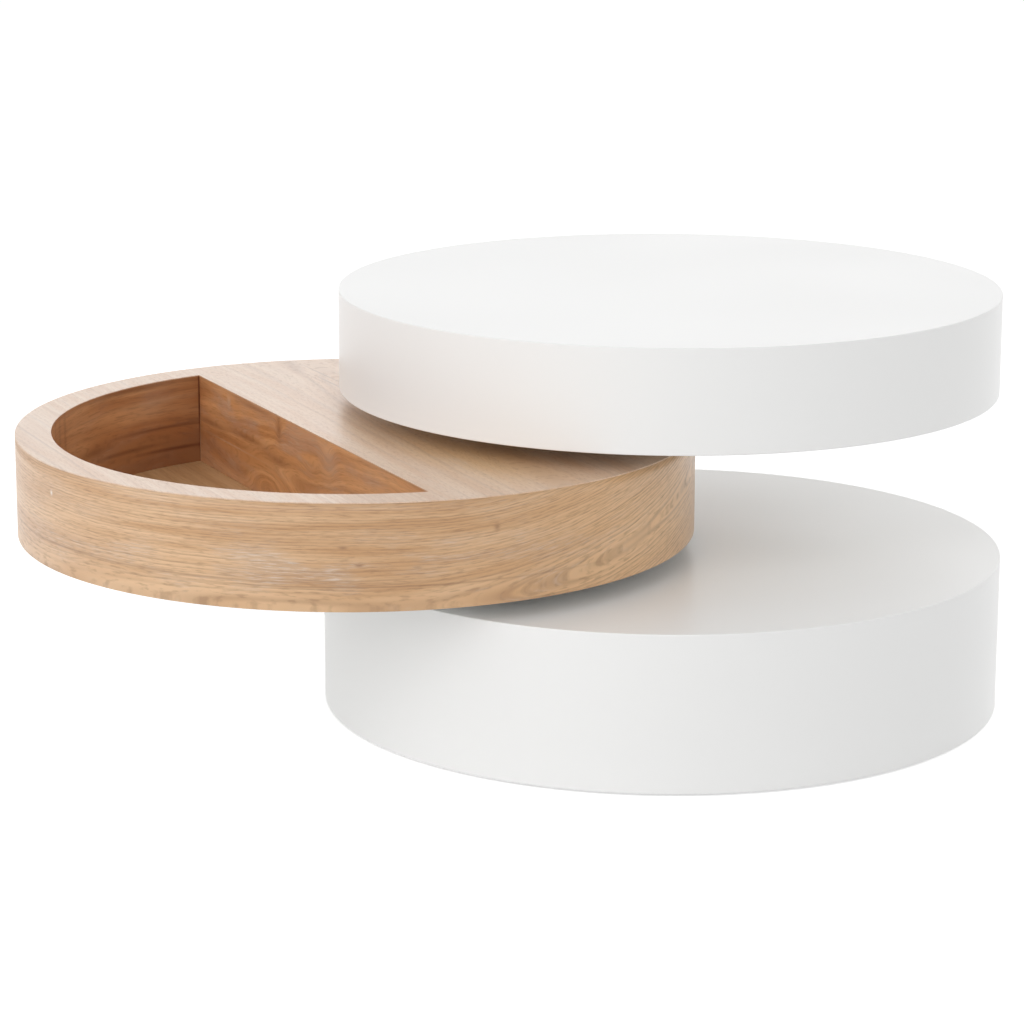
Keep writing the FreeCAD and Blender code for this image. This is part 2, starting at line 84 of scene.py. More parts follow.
def srgb(code):
    """The linear colour that a shader takes, from an sRGB hex code."""
    parts = np.array([int(code[i : i + 2], 16) for i in (0, 2, 4)]) / 255
    linear = np.where(parts <= 0.04045, parts / 12.92, ((parts + 0.055) / 1.055) ** 2.4)
    return (*linear.tolist(), 1.0)


def add(tree, kind, inputs, output=0, **settings):
    """Adds a node, sets its properties, and sets or links its inputs. Gives one output back."""
    node = tree.nodes.new("ShaderNode" + kind)
    for name, value in settings.items():
        setattr(node, name, value)
    for name, value in inputs.items():
        if isinstance(value, bpy.types.NodeSocket):
            tree.links.new(value, node.inputs[name])
        else:
            node.inputs[name].default_value = value
    return node.outputs[output]


def new_finish(name, **inputs):
    """A material and its tree; what is the same all over is set on the shader itself."""
    material = bpy.data.materials.new(name)
    material.use_nodes = True
    shader = material.node_tree.nodes["Principled BSDF"]
    for name, value in inputs.items():
        shader.inputs[name.replace("_", " ")].default_value = value
    return material, material.node_tree, shader


def dress(material, *names):
    """Gives CAD nodes their finish."""
    for name in names:
        nodes[name].material_slots[0].material = material


# Melamine facing, pressed with a fine grit: off-white, with a pebble of about 1 mm.
melamine, tree, shader = new_finish("melamine_pressed", Roughness=0.45, IOR=1.5)
place = add(tree, "TexCoord", {}, "Object")
pebble = add(tree, "TexNoise", {"Vector": place, "Scale": 900.0, "Detail": 2.0})
cloud = add(tree, "TexNoise", {"Vector": place, "Scale": 9.0, "Detail": 3.0})
colour = add(
    tree,
    "Mix",
    {0: cloud, 6: srgb("f3f3f0"), 7: srgb("ecece9")},
    2,
    data_type="RGBA",
)
tree.links.new(colour, shader.inputs["Base Color"])
bump = add(tree, "Bump", {"Strength": 0.3, "Distance": 0.00005, "Height": pebble})
tree.links.new(bump, shader.inputs["Normal"])
dress(melamine, "base_floor_board", "tray_floor_board", "top_floor_board")

# Pressed wool felt: grey-brown, matt, its fibres 2 to 4 mm long and lying every way.
felt, tree, shader = new_finish("felt_pressed", Roughness=0.95, IOR=1.5)
place = add(tree, "TexCoord", {}, "Object")
fibre = add(
    tree,
    "TexNoise",
    {"Vector": place, "Scale": 450.0, "Detail": 5.0, "Roughness": 0.7, "Distortion": 2.5},
)
colour = add(
    tree,
    "Mix",
    {0: fibre, 6: srgb("4a4643"), 7: srgb("7a746e")},
    2,
    data_type="RGBA",
)
tree.links.new(colour, shader.inputs["Base Color"])
bump = add(tree, "Bump", {"Strength": 0.8, "Distance": 0.0004, "Height": fibre})
tree.links.new(bump, shader.inputs["Normal"])
dress(felt, "base_glides")

# Zinc plate on steel: blue-white, with the cloudy grain of a barrel-plated screw.
zinc, tree, shader = new_finish("steel_zinc_plated", Metallic=1.0)
place = add(tree, "TexCoord", {}, "Object")
cloud = add(tree, "TexNoise", {"Vector": place, "Scale": 260.0, "Detail": 4.0})
colour = add(
    tree,
    "Mix",
    {0: cloud, 6: srgb("b9bdc2"), 7: srgb("d9dcdd")},
    2,
    data_type="RGBA",
)
rough = add(tree, "MapRange", {"Value": cloud, "To Min": 0.28, "To Max": 0.48})
tree.links.new(colour, shader.inputs["Base Color"])
tree.links.new(rough, shader.inputs["Roughness"])
dress(
    zinc,
    "base_floor_screws",
    "post_bolts",
    "post_washers",
    "post_nuts",
    "seat_plate_screws",
    "tray_sleeve_screws",
    "pivot_plate_screws",
    "spindle_keeper",
    "spindle_keeper_bolt",
)

# -------------------------------------------------------------------- base drum: ribs and hub
# Inside each drum, boards of raw fibreboard stand on edge, halved into each other, round a hub
# block glued up of birch plywood. The tray's deck, rim and spacers are the same fibreboard.

# Raw fibreboard, sawn: a flat tan with pale and dark fibres under 1 mm long.
fibreboard, tree, shader = new_finish("fibreboard_sawn", Roughness=0.85, IOR=1.45)
place = add(tree, "TexCoord", {}, "Object")
fleck = add(tree, "TexNoise", {"Vector": place, "Scale": 1400.0, "Detail": 3.0})
cloud = add(tree, "TexNoise", {"Vector": place, "Scale": 25.0, "Detail": 4.0})
mixed = add(tree, "Math", {0: fleck, 1: cloud}, operation="ADD")
shade = add(tree, "MapRange", {"Value": mixed, "From Min": 0.75, "From Max": 1.25})
colour = add(
    tree,
    "Mix",
    {0: shade, 6: srgb("a98a66"), 7: srgb("c4a680")},
    2,
    data_type="RGBA",
)
tree.links.new(colour, shader.inputs["Base Color"])
bump = add(tree, "Bump", {"Strength": 0.4, "Distance": 0.0001, "Height": fleck})
tree.links.new(bump, shader.inputs["Normal"])
dress(
    fibreboard,
    "base_long_ribs",
    "base_cross_ribs",
    "tray_long_ribs",
    "tray_cross_ribs",
    "tray_deck_board",
    "tray_rim_board",
    "tray_rim_spacers",
    "top_long_ribs",
    "top_cross_ribs",
)

# Birch plywood, cut: plies of 1.4 mm whose edges show long grain and end grain by turns.
PLY = 0.0014
birch, tree, shader = new_finish("birch_plywood_cut", Roughness=0.7, IOR=1.45)
place = add(tree, "TexCoord", {}, "Object")
level = add(tree, "SeparateXYZ", {"Vector": place}, "Z")
turns = add(tree, "Math", {0: level, 1: math.pi / PLY}, operation="MULTIPLY")
wave = add(tree, "Math", {0: turns}, operation="SINE")
ply = add(tree, "MapRange", {"Value": wave, "From Min": -0.25, "From Max": 0.25})
stretch = add(tree, "VectorMath", {0: place, 1: (900.0, 60.0, 900.0)}, operation="MULTIPLY")
grain = add(tree, "TexNoise", {"Vector": stretch, "Scale": 1.0, "Detail": 3.0})
shade = add(tree, "Math", {0: ply, 1: grain}, operation="MULTIPLY")
colour = add(
    tree,
    "Mix",
    {0: shade, 6: srgb("dcc39a"), 7: srgb("b08c5e")},
    2,
    data_type="RGBA",
)
tree.links.new(colour, shader.inputs["Base Color"])
dress(birch, "base_hub_block", "tray_hub_block", "top_hub_block")

# ------------------------------------------------------------------------- base drum: shell
# A hoop of bent plywood and a round top board, filled, sprayed with white two-pack lacquer and
# rubbed down to a satin. The lacquer rounds every arris a little and runs on over the joint.

EASE = 0.0012  # the radius to which the lacquer rounds an arris
ROUND = 320  # points on each circle
QUARTER_POINTS = 6


def circles(centres, radii, levels):
    """Points on upright circles, as an array of circle by angle by coordinate.

    The point at angle a on a circle is (x + r cos a, y + r sin a, z), with that circle's own
    centre (x, y), radius r and level z.
    """
    angle = np.linspace(0, 2 * np.pi, ROUND, endpoint=False)
    centres = np.asarray(centres, float)
    x = centres[:, :1] + np.outer(radii, np.cos(angle))
    y = centres[:, 1:] + np.outer(radii, np.sin(angle))
    z = np.repeat(np.asarray(levels, float)[:, None], ROUND, 1)
    return np.stack([x, y, z], 2)


def quads(rows, columns, rows_close):
    """The quads of a grid whose columns close on themselves, and whose rows do if asked."""
    last = rows if rows_close else rows - 1
    row, column = np.meshgrid(np.arange(last), np.arange(columns), indexing="ij")
    after = (column + 1) % columns
    above = (row + 1) % rows
    corners = [
        row * columns + column,
        row * columns + after,
        above * columns + after,
        above * columns + column,
    ]
    return np.stack(corners, 2).reshape(-1, 4)


def surface(name, points, faces, material):
    """A smooth mesh object from an array of points and a list of faces."""
    mesh = bpy.data.meshes.new(name)
    mesh.from_pydata(points.reshape(-1, 3).tolist(), [], [list(face) for face in faces])
    mesh.materials.append(material)
    mesh.shade_smooth()
    piece = bpy.data.objects.new(name, mesh)
    bpy.context.scene.collection.objects.link(piece)
    return piece


def quarter(centre_r, centre_z, size, start, count=QUARTER_POINTS):
    """Points on a quarter round in the (radius, level) plane, anticlockwise from an angle.

    The point at angle a is (centre_r + size cos a, centre_z + size sin a).
    """
    angle = np.radians(start + np.linspace(0, 90, count))
    return np.stack([centre_r + size * np.cos(angle), centre_z + size * np.sin(angle)], 1)


def box_circle(name):
    """The centre and radius of a round upright node, from its box."""
    low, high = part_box(name)
    return np.array([(low.x + high.x) / 2, (low.y + high.y) / 2]), (high.x - low.x) / 2


wall_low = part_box("base_side_wall")[0]
board_low, board_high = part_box("base_top_board")
base_centre, drum = box_circle("base_side_wall")
post_centre, post_radius = box_circle("spindle_upper_bush")
HOOP = 0.012
HOLE_GAP = 0.0005  # between the top board's hole and the post
FLAT = 0.0003  # from an eased edge to the ring that keeps the flat beside it flat
BASE_SIDE_RINGS = 12
BASE_TOP_RINGS = 13
BASE_UNDER_RINGS = 6
inside = drum - HOOP
hole = post_radius + HOLE_GAP

bottom, joint, top = wall_low.z, board_low.z, board_high.z
side_levels = np.linspace(bottom + EASE + FLAT, top - EASE - FLAT, BASE_SIDE_RINGS)
outside = np.concatenate(
    [
        [[inside, bottom], [drum - EASE - FLAT, bottom]],
        quarter(drum - EASE, bottom + EASE, EASE, -90),
        [[drum, level] for level in side_levels],
        quarter(drum - EASE, top - EASE, EASE, 0),
        [[drum - EASE - FLAT, top]],
    ]
)
# over the top the circles shift from the drum's centre to the post's as they shrink, and back
# again under the board as they grow
shrink = np.linspace(0, 1, BASE_TOP_RINGS + 1)[1:]
grow = np.linspace(0, 1, BASE_UNDER_RINGS)
over = np.stack([drum + (hole - drum) * shrink, np.full(BASE_TOP_RINGS, top)], 1)
under = np.stack([hole + (inside - hole) * grow, np.full(BASE_UNDER_RINGS, joint)], 1)
profile = np.concatenate([outside, over, under])
shift = np.concatenate([np.zeros(len(outside)), shrink, grow[::-1]])
centres = base_centre + np.outer(shift, post_centre - base_centre)
points = circles(centres, profile[:, 0], profile[:, 1])

# White two-pack lacquer, sprayed: a clean white with a trace of warmth. Its satin gloss drifts a
# little over 150 mm or so, as the spray gun's passes and the rubbing down leave it.
lacquer, tree, shader = new_finish("lacquer_sprayed_white", IOR=1.5)
shader.inputs["Base Color"].default_value = srgb("f6f6f5")
place = add(tree, "TexCoord", {}, "Object")
cloud = add(tree, "TexNoise", {"Vector": place, "Scale": 6.0, "Detail": 0.0})
rough = add(tree, "MapRange", {"Value": cloud, "To Min": 0.29, "To Max": 0.34})
tree.links.new(rough, shader.inputs["Roughness"])

base_shell = surface("base_shell", points, quads(len(profile), ROUND, True), lacquer)
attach(base_shell, "base")
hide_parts("base_side_wall", "base_top_board")

# ---------------------------------------------------------------------------------- the post
# A steel tube welded to a plate with four gussets, powder coated black, bolted down through the
# floor board. A push-in cap of black polypropylene closes it from below.

# Powder coat, baked: black, half matt, with a fine wrinkle of about 1 mm.
powder, tree, shader = new_finish("steel_powder_coated", Roughness=0.5, IOR=1.5)
place = add(tree, "TexCoord", {}, "Object")
wrinkle = add(tree, "TexNoise", {"Vector": place, "Scale": 1100.0, "Detail": 2.0})
colour = add(
    tree,
    "Mix",
    {0: wrinkle, 6: srgb("1a1a1c"), 7: srgb("2a2a2c")},
    2,
    data_type="RGBA",
)
tree.links.new(colour, shader.inputs["Base Color"])
bump = add(tree, "Bump", {"Strength": 0.5, "Distance": 0.00008, "Height": wrinkle})
tree.links.new(bump, shader.inputs["Normal"])
dress(powder, "swivel_post")

# Polypropylene, moulded: black, with a spark-eroded texture.
polypropylene, tree, shader = new_finish("polypropylene_moulded", Roughness=0.55, IOR=1.49)
place = add(tree, "TexCoord", {}, "Object")
spark = add(tree, "TexNoise", {"Vector": place, "Scale": 1800.0, "Detail": 1.0})
colour = add(
    tree,
    "Mix",
    {0: spark, 6: srgb("141414"), 7: srgb("222222")},
    2,
    data_type="RGBA",
)
tree.links.new(colour, shader.inputs["Base Color"])
bump = add(tree, "Bump", {"Strength": 0.4, "Distance": 0.00005, "Height": spark})
tree.links.new(bump, shader.inputs["Normal"])
dress(polypropylene, "post_access_cap")

# ------------------------------------------------------------------------------- the bearings
# Each turning drum stands on a thrust bearing: ground steel races with rollers laid between
# them in a stamped brass cage. Turned steel plates and sleeves hold them, and nylon bushes
# keep them upright on the post and the spindle.


def turned_metal(name, light, dark, pitch, low, high):
    """Metal turned on a lathe: rings about the post, `pitch` apart, with a rough and a fine."""
    material, tree, shader = new_finish(name, Metallic=1.0)
    place = add(tree, "TexCoord", {}, "Object")
    origin = (post_centre[0], post_centre[1], 0.0)
    centred = add(tree, "VectorMath", {0: place, 1: origin}, operation="SUBTRACT")
    split = add(tree, "SeparateXYZ", {"Vector": centred}).node
    plan = add(tree, "CombineXYZ", {"X": split.outputs["X"], "Y": split.outputs["Y"]})
    radius = add(tree, "VectorMath", {0: plan}, "Value", operation="LENGTH")
    total = add(tree, "Math", {0: radius, 1: split.outputs["Z"]}, operation="ADD")
    grooves = add(
        tree,
        "TexNoise",
        {"W": total, "Scale": 1 / pitch, "Detail": 2.0},
        noise_dimensions="1D",
    )
    colour = add(
        tree,
        "Mix",
        {0: grooves, 6: srgb(light), 7: srgb(dark)},
        2,
        data_type="RGBA",
    )
    rough = add(tree, "MapRange", {"Value": grooves, "To Min": low, "To Max": high})
    bump = add(tree, "Bump", {"Strength": 0.3, "Distance": pitch / 20, "Height": grooves})
    tree.links.new(colour, shader.inputs["Base Color"])
    tree.links.new(rough, shader.inputs["Roughness"])
    tree.links.new(bump, shader.inputs["Normal"])
    return material


# Mild steel, turned: grooves 0.5 mm apart, drawn at 1 mm so that they show.
turned_steel = turned_metal("steel_turned", "b4b4b6", "8e8f92", 0.001, 0.25, 0.42)
dress(turned_steel, "bearing_seat_plate", "tray_hub_sleeve", "pivot_plate", "pivot_spindle")

# Bearing steel, ground: brighter and finer.
ground_steel = turned_metal("bearing_steel_ground", "c9c9ca", "b5b6b8", 0.0006, 0.12, 0.22)
dress(
    ground_steel,
    "lower_bearing_base_race",
    "lower_bearing_rollers",
    "lower_bearing_tray_race",
    "upper_bearing_post_race",
    "upper_bearing_rollers",
    "upper_bearing_top_race",
)

# Brass, stamped: the sheet's rolled skin, a little dulled.
stamped_brass = turned_metal("brass_stamped", "d9b466", "b78f45", 0.0015, 0.28, 0.4)
dress(stamped_brass, "lower_bearing_cage", "upper_bearing_cage")

# Nylon, moulded: milky, slightly waxy, and light goes a little way in.
nylon, tree, shader = new_finish(
    "nylon_moulded",
    Roughness=0.42,
    IOR=1.53,
    Subsurface_Weight=0.2,
    Subsurface_Scale=0.002,
)
place = add(tree, "TexCoord", {}, "Object")
cloud = add(tree, "TexNoise", {"Vector": place, "Scale": 80.0, "Detail": 2.0})
colour = add(
    tree,
    "Mix",
    {0: cloud, 6: srgb("ebe8dc"), 7: srgb("e0dccd")},
    2,
    data_type="RGBA",
)
tree.links.new(colour, shader.inputs["Base Color"])
dress(nylon, "spindle_upper_bush", "spindle_lower_bush", "tray_lower_bush", "tray_upper_bush")

# -------------------------------------------------------------------------- tray drum: side
# A bent plywood hoop under one long leaf of oak veneer, its grain laid round the drum. The leaf
# is flat sawn: plain lines on the left open into a flame on the right. It is limed thinly, so
# that some pores are left white, and matt varnished.

tray_centre, tray_drum = box_circle("tray_side_wall")
tray_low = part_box("tray_side_wall")[0].z
tray_wall_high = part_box("tray_side_wall")[1].z
RECESS_HEADING = math.radians(-151.3)
RECESS_RADIUS = 0.3356
VENEER_EASE = 0.0006
RING_WANDER = 0.9  # how far a ring may stray from its even place, in ring widths
WANDERS_PER_RING = 0.3
FAINTEST = 0.45  # what is left of a line where it fades most
PALER, DEEPER = -0.15, 0.27  # the ground's shift in tone before and after "deepen"
PORE_ROUGHNESS = 0.15  # how much rougher an open pore is than the varnish round it


def oak_veneer(name, layout, figure, tones, wear):
    """Oak veneer: the annual rings of one log, cut by the sheet.

    The sheet's coordinates are `along` and `across` the grain. The log's pith runs past the
    sheet at a depth and a level that change smoothly over one stretch of it, and
    r = sqrt((across - level)^2 + depth^2), with both bent by broad noise, is the distance from
    the pith. Each ring starts with a sharp row of dark pores that fades outwards, and its
    strength changes from ring to ring. A mark is a round hump exp(-d^2) at one spot of the
    leaf: it pushes the rings apart there, as a knot does, and the oak there may be stained,
    filled, left a yellower honey, limed, or bolder in its lines. Some marks are painted shade:
    the yellower honey_and_shade patch on the deck beside the tabletop's edge, a dark stain at
    the foot of the recess wall, and the darkening of the glue line in the recess's corner.

    `layout` is the sheet's origin, its turn about the upright, the radius to unroll it from, or
    None, and else which coordinates run along and across. `figure` shapes the log: each of the
    waves "broad" and "small" is (length, width) and bends the rings by its part of "bend"; the
    pith goes from the first "level" and "depth" to the second over the stretch "climb"; a mark
    is (along, across, length, width, push, kind, strength). `tones` are the colours, and `wear`
    is how strongly each is laid on, with the varnish's gloss.
    """
    material, tree, shader = new_finish(name, IOR=1.5, Coat_Weight=0.6, Coat_Roughness=0.36)
    place = add(tree, "TexCoord", {}, "Object")
    origin, turn, unroll, directions = layout
    sheet = add(
        tree,
        "Mapping",
        {"Vector": place, "Location": origin, "Rotation": (0.0, 0.0, turn)},
        vector_type="TEXTURE",
    )
    split = add(tree, "SeparateXYZ", {"Vector": sheet}).node
    if unroll:
        back = add(tree, "Math", {0: split.outputs["Y"], 1: -1.0}, operation="MULTIPLY")
        angle = add(tree, "Math", {0: split.outputs["X"], 1: back}, operation="ARCTAN2")
        along = add(tree, "Math", {0: angle, 1: unroll}, operation="MULTIPLY")
        across = split.outputs["Z"]
    else:
        along = split.outputs[directions[0]]
        across = split.outputs[directions[1]]

    flat = add(tree, "CombineXYZ", {"X": along, "Y": across, "Z": figure["seed"]})
    waves = []
    for length, width in (figure["broad"], figure["small"]):
        scaled = add(
            tree,
            "VectorMath",
            {0: flat, 1: (1 / length, 1 / width, 1.0)},
            operation="MULTIPLY",
        )
        noise = add(tree, "TexNoise", {"Vector": scaled, "Scale": 1.0, "Detail": 2.0})
        waves.append(add(tree, "Math", {0: noise, 1: 0.5}, operation="SUBTRACT"))
    broad = add(tree, "Math", {0: waves[0], 1: figure["bend"][0]}, operation="MULTIPLY")
    small = add(tree, "Math", {0: waves[1], 1: figure["bend"][1]}, operation="MULTIPLY")

    begin, end = figure["climb"]
    reach = {"Value": along, "From Min": begin, "From Max": end}
    ends = {"To Min": figure["level"][0], "To Max": figure["level"][1]}
    level = add(tree, "MapRange", {**reach, **ends}, interpolation_type="SMOOTHSTEP")
    ends = {"To Min": figure["depth"][0], "To Max": figure["depth"][1]}
    depth = add(tree, "MapRange", {**reach, **ends}, interpolation_type="SMOOTHSTEP")
    depth = add(tree, "Math", {0: depth, 1: broad}, operation="ADD")
    stains = dict.fromkeys(("honey_and_shade", "ring", "lime", "chalk", "bold"), 0.0)
    for at, up, length, height, push, stain, share in figure["marks"]:
        away = add(tree, "VectorMath", {0: flat, 1: (at, up, 0.0)}, operation="SUBTRACT")
        away = add(
            tree,
            "VectorMath",
            {0: away, 1: (1 / length, 1 / height, 0.0)},
            operation="MULTIPLY",
        )
        apart = add(tree, "VectorMath", {0: away, 1: away}, "Value", operation="DOT_PRODUCT")
        fallen = add(tree, "Math", {0: apart, 1: -1.0}, operation="MULTIPLY")
        hump = add(tree, "Math", {0: fallen}, operation="EXPONENT")
        depth = add(tree, "Math", {0: hump, 1: push, 2: depth}, operation="MULTIPLY_ADD")
        stains[stain] = add(
            tree,
            "Math",
            {0: hump, 1: share, 2: stains[stain]},
            operation="MULTIPLY_ADD",
        )
    offset = add(tree, "Math", {0: across, 1: level}, operation="SUBTRACT")
    offset = add(tree, "Math", {0: offset, 1: small}, operation="ADD")
    side = add(tree, "CombineXYZ", {"X": offset, "Y": depth, "Z": 0.0})
    radius = add(tree, "VectorMath", {0: side}, "Value", operation="LENGTH")

    spacing = figure["spacing"]
    drift = add(
        tree,
        "TexNoise",
        {"W": radius, "Scale": WANDERS_PER_RING / spacing, "Detail": 3.0},
        noise_dimensions="1D",
    )
    count = add(tree, "Math", {0: radius, 1: 1 / spacing}, operation="MULTIPLY")
    count = add(tree, "Math", {0: drift, 1: RING_WANDER, 2: count}, operation="MULTIPLY_ADD")
    share = add(tree, "Math", {0: count}, operation="FRACT")
    fade = add(tree, "Math", {0: 1.0, 1: share}, operation="SUBTRACT")
    row = add(tree, "Math", {0: fade, 1: figure["sharp"]}, operation="POWER")
    edge = add(
        tree,
        "MapRange",
        {"Value": share, "From Max": figure["soft"]},
        interpolation_type="SMOOTHSTEP",
    )
    row = add(tree, "Math", {0: row, 1: edge}, operation="MULTIPLY")
    ring = add(tree, "Math", {0: count}, operation="FLOOR")
    chance = add(tree, "TexWhiteNoise", {"W": ring}, "Value", noise_dimensions="1D")
    chance = add(tree, "Math", {0: chance, 1: figure["rarity"]}, operation="POWER")
    strength = add(tree, "MapRange", {"Value": chance, "To Min": figure["faint"]})
    line = add(tree, "Math", {0: row, 1: strength}, operation="MULTIPLY")

    # noises stretched along the rings or the sheet: the length and width of one patch in metres,
    # and the part of the noise over which it comes in
    threads = add(tree, "CombineXYZ", {"X": along, "Y": radius, "Z": figure["seed"]})
    veils = {}
    for veil, basis, length, width, first, last in (
        ("fade", threads, 0.12, 0.005, 0.30, 0.62),
        ("pores", threads, figure["pores"], 0.0011, 0.48, 0.70),
        ("tone", threads, 0.22, 0.010, 0.32, 0.68),
        ("patch", flat, 0.09, 0.022, 0.45, 0.70),
        ("chalk", threads, 0.020, 0.0010, 0.50, 0.66),
    ):
        scaled = add(
            tree,
            "VectorMath",
            {0: basis, 1: (1 / length, 1 / width, len(veils) + 1.0)},
            operation="MULTIPLY",
        )
        noise = add(tree, "TexNoise", {"Vector": scaled, "Scale": 1.0, "Detail": 3.0})
        veils[veil] = add(
            tree,
            "MapRange",
            {"Value": noise, "From Min": first, "From Max": last},
            interpolation_type="SMOOTHSTEP",
        )
    fade = add(tree, "MapRange", {"Value": veils["fade"], "To Min": FAINTEST, "To Max": 1.0})
    line = add(tree, "Math", {0: line, 1: fade}, operation="MULTIPLY")
    line = add(tree, "Math", {0: line, 1: stains["bold"], 2: line}, operation="MULTIPLY_ADD")
    pores = veils["pores"]
    begin, end = figure["deepen"]
    reach = {"Value": along, "From Min": begin, "From Max": end}
    ends = {"To Min": PALER, "To Max": DEEPER}
    deeper = add(tree, "MapRange", {**reach, **ends}, interpolation_type="SMOOTHSTEP")
    tone = add(
        tree,
        "Math",
        {0: veils["tone"], 1: deeper},
        operation="ADD",
        use_clamp=True,
    )
    limed = add(tree, "Math", {0: stains["chalk"], 1: figure["scatter"]}, operation="ADD")
    patch = add(
        tree,
        "Math",
        {0: veils["patch"], 1: limed},
        operation="MULTIPLY",
        use_clamp=True,
    )
    lime = add(tree, "Math", {0: patch, 1: veils["chalk"]}, operation="MULTIPLY")

    colour = add(
        tree,
        "Mix",
        {0: tone, 6: srgb(tones["pale"]), 7: srgb(tones["deep"])},
        2,
        data_type="RGBA",
    )
    # the honey_and_shade tint is a yellower oak, and on the deck it is painted warm shade beside
    # the tabletop's edge
    for share, strength, paint in (
        (stains["honey_and_shade"], 1.0, "honey_and_shade"),
        (line, wear["line"], "ring"),
        (pores, wear["pore"], "pore"),
        (patch, wear["haze"], "haze"),
        (lime, wear["lime"], "lime"),
        (stains["ring"], 1.0, "ring"),
        (stains["lime"], 1.0, "lime"),
    ):
        amount = add(
            tree,
            "Math",
            {0: share, 1: strength},
            operation="MULTIPLY",
            use_clamp=True,
        )
        colour = add(
            tree,
            "Mix",
            {0: amount, 6: colour, 7: srgb(tones[paint])},
            2,
            data_type="RGBA",
        )
    tree.links.new(colour, shader.inputs["Base Color"])
    rough = add(
        tree,
        "MapRange",
        {"Value": pores, "To Min": wear["gloss"], "To Max": wear["gloss"] + PORE_ROUGHNESS},
    )
    tree.links.new(rough, shader.inputs["Roughness"])
    sunk = add(tree, "Math", {0: line, 1: pores}, operation="ADD")
    bump = add(
        tree,
        "Bump",
        {"Strength": 0.35, "Distance": 0.00008, "Height": sunk},
        invert=True,
    )
    tree.links.new(bump, shader.inputs["Normal"])
    return material


side_oak = oak_veneer(
    "oak_veneer_side",
    ((tray_centre[0], tray_centre[1], tray_low), 0.0, tray_drum, None),
    {
        "seed": 4.6,
        "broad": (0.40, 0.12),
        "small": (0.09, 0.020),
        "bend": (0.018, 0.003),
        "climb": (0.10, 0.78),
        "level": (0.0, 0.115),
        "depth": (0.034, 0.014),
        "spacing": 0.0032,
        "sharp": 1.8,
        "soft": 0.3,
        "faint": 0.45,
        "pores": 0.015,
        "rarity": 1.0,
        "deepen": (-0.25, 0.10),
        "scatter": 0.25,
        "marks": [
            (0.08, 0.042, 0.16, 0.026, 0.0, "chalk", 1.0),
            (-0.05, 0.057, 0.06, 0.010, 0.0, "chalk", 0.5),
            (-0.25, 0.045, 0.20, 0.025, 0.0, "chalk", 0.4),
            (-0.22, 0.0305, 0.28, 0.0012, 0.0, "ring", 0.45),
            (0.05, 0.0260, 0.20, 0.0010, 0.0, "ring", 0.5),
            (0.022, 0.067, 0.005, 0.0022, 0.003, "ring", 0.6),
            (0.038, 0.049, 0.004, 0.0020, 0.003, "ring", 0.5),
            (0.182, 0.081, 0.003, 0.0040, 0.003, "ring", 0.5),
            (-0.348, 0.084, 0.002, 0.0025, 0.0, "lime", 0.9),
            (-0.480, 0.055, 0.130, 0.1500, 0.0, "ring", 0.12),
            (0.440, 0.055, 0.200, 0.1500, 0.0, "honey_and_shade", 0.80),
            (0.450, 0.055, 0.130, 0.1500, 0.0, "bold", 0.2),
        ],
    },
    {
        "pale": "dfb88e",
        "deep": "c69869",
        "honey_and_shade": "eabf8c",
        "ring": "7f5430",
        "pore": "7a5636",
        "haze": "bda795",
        "lime": "e8dfd6",
    },
    {"line": 0.85, "pore": 0.36, "haze": 0.30, "lime": 0.42, "gloss": 0.42},
)

TRAY_SIDE_RINGS = 10
VENEER_QUARTER_POINTS = 4
side_levels = np.linspace(tray_low + VENEER_EASE + FLAT, tray_wall_high, TRAY_SIDE_RINGS)
eased = (tray_drum - VENEER_EASE, tray_low + VENEER_EASE, VENEER_EASE)
outside = np.concatenate(
    [
        [[tray_drum - HOOP, tray_low], [tray_drum - VENEER_EASE - FLAT, tray_low]],
        quarter(*eased, -90, VENEER_QUARTER_POINTS),
        [[tray_drum, level] for level in side_levels],
        [[tray_drum - HOOP, tray_wall_high]],
    ]
)
points = circles(np.tile(tray_centre, (len(outside), 1)), outside[:, 0], outside[:, 1])
tray_side = surface("tray_side_shell", points, quads(len(outside), ROUND, True), side_oak)
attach(tray_side, "tray")
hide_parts("tray_side_wall")

# ------------------------------------------------------------------- tray drum: deck and rim
# One sheet of the same oak over the deck and the rim, its grain along the recess's straight
# side. It is cut closer to the quarter, so that its lines are straight and pale.

top_oak = oak_veneer(
    "oak_veneer_top",
    ((tray_centre[0], tray_centre[1], 0.0), RECESS_HEADING, None, ("Y", "X")),
    {
        "seed": 8.4,
        "broad": (0.45, 0.10),
        "small": (0.12, 0.03),
        "bend": (0.030, 0.005),
        "climb": (-0.38, 0.38),
        "level": (-0.08, -0.08),
        "depth": (0.10, 0.065),
        "spacing": 0.0070,
        "sharp": 1.6,
        "soft": 0.45,
        "faint": 0.15,
        "pores": 0.009,
        "rarity": 1.4,
        "deepen": (-9.0, 9.0),
        "scatter": 0.5,
        "marks": [
            # painted shade: a golden patch on the deck where the tabletop's edge shades it
            (0.170, -0.050, 0.170, 0.060, 0.0, "honey_and_shade", 0.70),
            (-0.270, -0.070, 0.090, 0.030, 0.0, "bold", 1.2),
            (-0.275, -0.073, 0.060, 0.0013, 0.0, "ring", 0.40),
            (-0.215, -0.062, 0.050, 0.0013, 0.0, "ring", 0.40),
            (-0.250, -0.056, 0.030, 0.0012, 0.0, "ring", 0.30),
            (-0.070, 0.332, 0.100, 0.035, 0.0, "bold", 0.9),
            (0.210, -0.035, 0.030, 0.018, 0.0, "chalk", 2.0),
            (-0.160, 0.330, 0.120, 0.040, 0.0, "lime", 0.20),
        ],
    },
    {
        "pale": "e6cab0",
        "deep": "dbb798",
        "honey_and_shade": "e2b880",
        "ring": "765648",
        "pore": "806050",
        "haze": "c4ada0",
        "lime": "ece0d6",
    },
    {"line": 0.50, "pore": 0.20, "haze": 0.22, "lime": 0.35, "gloss": 0.40},
)
dress(top_oak, "tray_top_veneer")

